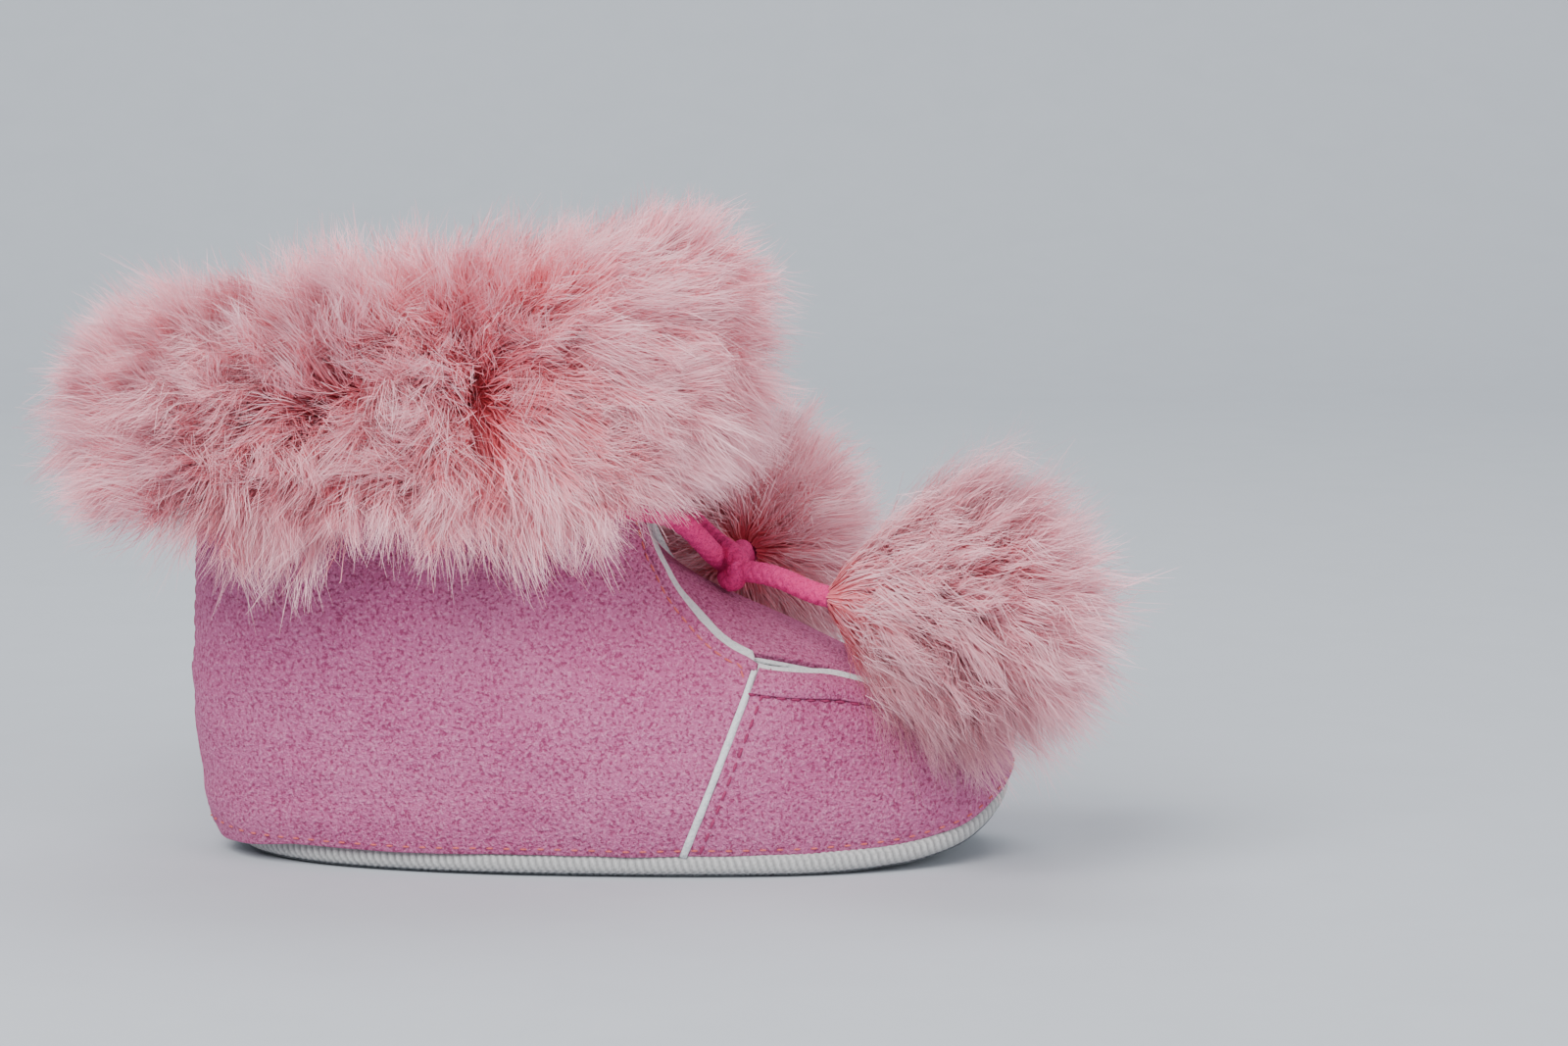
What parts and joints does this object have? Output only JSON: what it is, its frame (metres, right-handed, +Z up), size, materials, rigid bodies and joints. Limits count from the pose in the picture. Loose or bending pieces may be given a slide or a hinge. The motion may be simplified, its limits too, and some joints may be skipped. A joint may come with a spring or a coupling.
{
  "type": "baby bootie",
  "caption": "Soft pink suede baby bootie with a rocker sole, an open laced throat, a deep faux fur cuff round the ankle and a lace ending in fur pompoms that swing at the knot.",
  "frame": {"origin": "on the ground, under the middle of the box round the boot and its cuff, measured without the lace ends and pompoms", "axes": "+X towards the toe, +Y towards the far (medial) side, +Z up"},
  "size_m": [0.1568, 0.095, 0.1049],
  "materials": {
    "suede": "pink brushed microsuede, matt, with a fine grain",
    "white_felt": "white brushed felt, matt",
    "twill_tape": "off-white diagonal twill tape, matt",
    "grey_felt": "dark grey needled felt, matt",
    "wadding": "white polyester wadding, matt",
    "fur_backing": "coral pink knitted backing, matt",
    "fur_pile": "long pale pink faux fur, coral at the roots, soft sheen",
    "lace_cord": "hot pink round braided cord, matt",
    "thread": "red-pink sewing thread, slight sheen"
  },
  "bodies": {
    "root": {"vamp": "suede", "vamp_facing": "suede", "quarter_near": "suede", "quarter_far": "suede", "throat_binding_near": "suede", "throat_binding_far": "suede", "tongue": "suede", "vamp_lining": "white_felt", "quarter_lining_near": "white_felt", "quarter_lining_far": "white_felt", "throat_felt_near": "white_felt", "throat_felt_far": "white_felt", "side_seam_edge_near": "white_felt", "side_seam_edge_far": "white_felt", "tongue_lining": "white_felt", "insole": "white_felt", "sole_rim_tape": "twill_tape", "outsole_felt": "grey_felt", "sole_pad": "wadding", "cuff_core": "wadding", "cuff_backing": "fur_backing", "cuff_pile_near": "fur_pile", "cuff_pile_far": "fur_pile", "lace_collar_run": "lace_cord", "lace_knot": "lace_cord"},
    "near_loop": {"lace_loop_near": "lace_cord"},
    "near_lace": {"lace_end_near": "lace_cord", "pompom_tie_near": "thread", "pompom_pile_near": "fur_pile", "pompom_core_near": "wadding"},
    "far_loop": {"lace_loop_far": "lace_cord"},
    "far_lace": {"lace_end_far": "lace_cord", "pompom_tie_far": "thread", "pompom_pile_far": "fur_pile", "pompom_core_far": "wadding"}
  },
  "joints": [
    {"name": "near_lace_turn", "type": "hinge", "parent": "root", "child": "near_loop", "pos_m": [0.02957, -0.0036, 0.0444], "axis": [0, 0, -1], "range_deg": [0, 35]},
    {"name": "near_lace_lift", "type": "hinge", "parent": "near_loop", "child": "near_lace", "pos_m": [0.02957, -0.0036, 0.0444], "axis": [-0.4472, -0.8944, 0], "range_deg": [0, 50]},
    {"name": "far_lace_turn", "type": "hinge", "parent": "root", "child": "far_loop", "pos_m": [0.02957, 0.0036, 0.0444], "axis": [0, 0, -1], "range_deg": [0, 35]},
    {"name": "far_lace_lift", "type": "hinge", "parent": "far_loop", "child": "far_lace", "pos_m": [0.02957, 0.0036, 0.0444], "axis": [0.9987, -0.0516, 0], "range_deg": [0, 15]}
  ]
}
